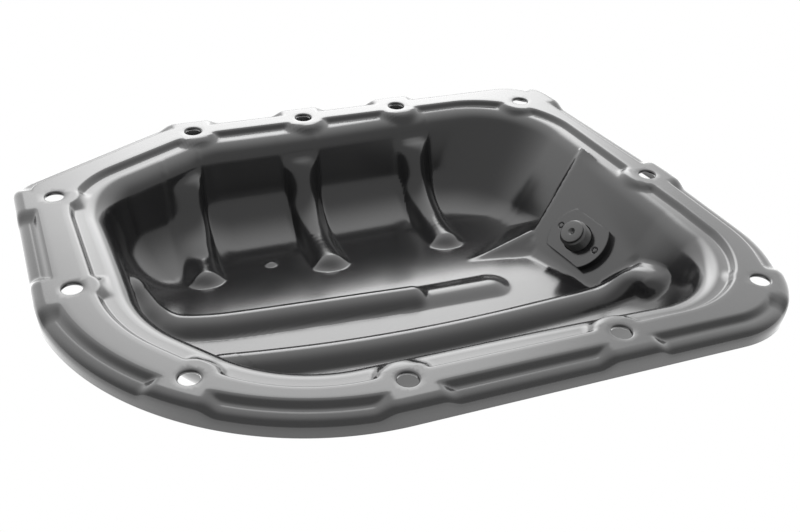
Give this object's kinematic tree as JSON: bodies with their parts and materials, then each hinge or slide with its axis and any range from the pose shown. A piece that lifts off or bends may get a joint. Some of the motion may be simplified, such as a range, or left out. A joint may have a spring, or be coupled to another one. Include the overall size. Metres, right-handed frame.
{
  "type": "engine oil pan",
  "caption": "Shallow stamped-steel engine oil pan with a stepped bolting flange, stiffening ribs and floor beads, and a drain plug on a slanted facet.",
  "frame": {"origin": "centre of the overall box in plan, at the lowest point of the outside, so Z = 0 is what the pan stands on when laid down", "axes": "+Z out of the open mouth towards the engine, +X along the straight back edge towards the drain side, +Y towards the deep side with the wall ribs"},
  "size_m": [0.2648, 0.2066, 0.0425],
  "materials": {
    "pan_coat": "satin black dip coat",
    "plug_coat": "satin black dip coat",
    "washer_metal": "plain, rolled"
  },
  "bodies": {
    "pan": {"pan_shell": "pan_coat", "drain_boss_plate": "pan_coat"},
    "washer": {"drain_gasket": "washer_metal"},
    "plug": {"drain_plug": "plug_coat"}
  },
  "joints": [
    {"name": "plug_travel", "type": "slide", "parent": "pan", "child": "washer", "axis": [0.6654, 0.161, -0.729], "range_m": [0, 0.0115]},
    {"name": "plug_turn", "type": "hinge", "parent": "washer", "child": "plug", "pos_m": [0.0867, -0.0056, 0.0178], "axis": [0.6654, 0.161, -0.729], "range_deg": [0, 2880]}
  ],
  "couplings": [
    {"joint": "plug_travel", "follows": "plug_turn", "m_per_rad": 0.00019894}
  ]
}
